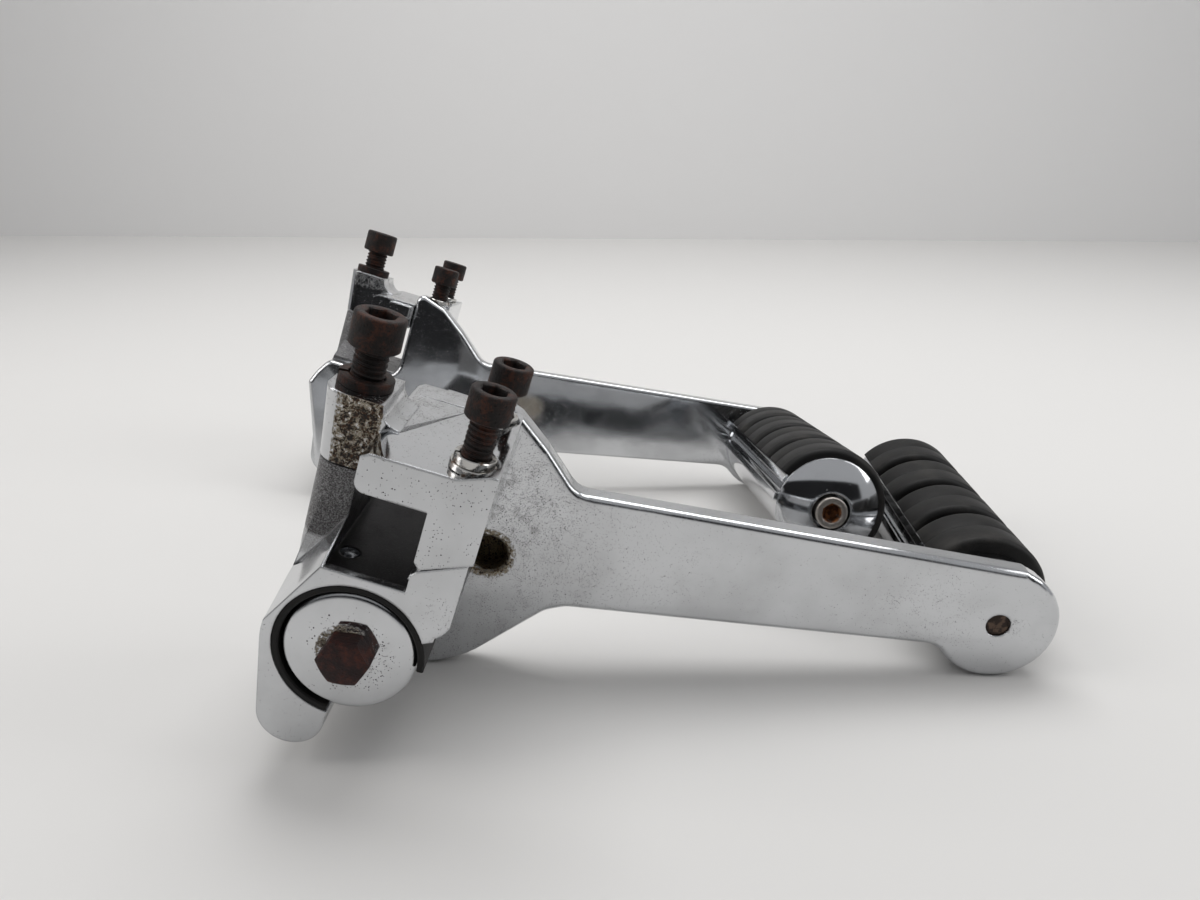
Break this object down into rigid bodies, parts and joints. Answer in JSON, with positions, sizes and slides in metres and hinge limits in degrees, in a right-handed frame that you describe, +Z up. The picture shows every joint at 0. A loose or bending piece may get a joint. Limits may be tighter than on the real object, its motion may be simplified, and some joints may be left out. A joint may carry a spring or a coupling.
{
  "type": "motorcycle footpeg pair",
  "caption": "Pair of highway footpegs with split bar clamps, rubber lined pivots, long cast arms and ribbed pegs.",
  "frame": {"origin": "centre of the pair's bounding box, at the height of its lowest point", "axes": "+X along the left arm from its pivot to its peg, +Y from the left assembly to the right one, +Z up; both assemblies stand as they lie on the bench"},
  "size_m": [0.3026, 0.2675, 0.1261],
  "materials": {
    "clamp_chrome": "polished chrome on a casting, with fine pits and rust specks",
    "arm_chrome": "polished chrome, dull haze and small pits towards the pivot",
    "hub_chrome": "polished chrome, pitted round the bolt",
    "peg_chrome": "polished chrome",
    "washer_steel": "bright plated steel with light rust",
    "rusty_screw": "dark brown rust all over, rough",
    "rusty_bolt": "red brown rust all over",
    "liner_rubber": "black rubber",
    "tread_rubber": "black rubber, matte ribs"
  },
  "bodies": {
    "clamps": {"left_lower_jaw": "clamp_chrome", "left_upper_jaw": "clamp_chrome", "left_post_screw": "rusty_screw", "left_post_lock_washer": "rusty_screw", "left_front_screw": "rusty_screw", "left_rear_screw": "rusty_screw", "left_front_flat_washer": "washer_steel", "left_rear_flat_washer": "washer_steel", "left_front_lock_washer": "washer_steel", "left_rear_lock_washer": "washer_steel", "left_liner": "liner_rubber", "right_lower_jaw": "clamp_chrome", "right_upper_jaw": "clamp_chrome", "right_post_screw": "rusty_screw", "right_post_lock_washer": "rusty_screw", "right_front_screw": "rusty_screw", "right_rear_screw": "rusty_screw", "right_front_flat_washer": "washer_steel", "right_rear_flat_washer": "washer_steel", "right_front_lock_washer": "washer_steel", "right_rear_lock_washer": "washer_steel", "right_liner": "liner_rubber"},
    "left_arm": {"left_hub": "hub_chrome", "left_hub_disc": "hub_chrome", "left_hub_bolt": "rusty_bolt", "left_arm": "arm_chrome", "left_peg_bolt": "rusty_bolt"},
    "left_peg": {"left_peg_core": "peg_chrome", "left_peg_tread": "tread_rubber", "left_peg_cap": "peg_chrome"},
    "right_arm": {"right_hub": "hub_chrome", "right_hub_disc": "hub_chrome", "right_hub_bolt": "rusty_bolt", "right_arm": "arm_chrome", "right_peg_bolt": "rusty_bolt"},
    "right_peg": {"right_peg_core": "peg_chrome", "right_peg_tread": "tread_rubber", "right_peg_cap": "peg_chrome"}
  },
  "joints": [
    {"name": "left_arm_pivot", "type": "hinge", "parent": "clamps", "child": "left_arm", "pos_m": [-0.06497, -0.10337, 0.038], "axis": [0, 1, 0], "range_deg": [0, 35]},
    {"name": "left_peg_turn", "type": "hinge", "parent": "left_arm", "child": "left_peg", "pos_m": [0.12883, -0.01887, 0.0197], "axis": [0, 1, 0], "range_deg": [-15, 15]},
    {"name": "right_arm_pivot", "type": "hinge", "parent": "clamps", "child": "right_arm", "pos_m": [-0.12179, 0.09741, 0.03328], "axis": [-0.0792, 0.9846, -0.1557], "range_deg": [0, 35]},
    {"name": "right_peg_turn", "type": "hinge", "parent": "right_arm", "child": "right_peg", "pos_m": [0.07831, 0.02691, 0.02836], "axis": [-0.0792, 0.9846, -0.1557], "range_deg": [-15, 15]}
  ]
}
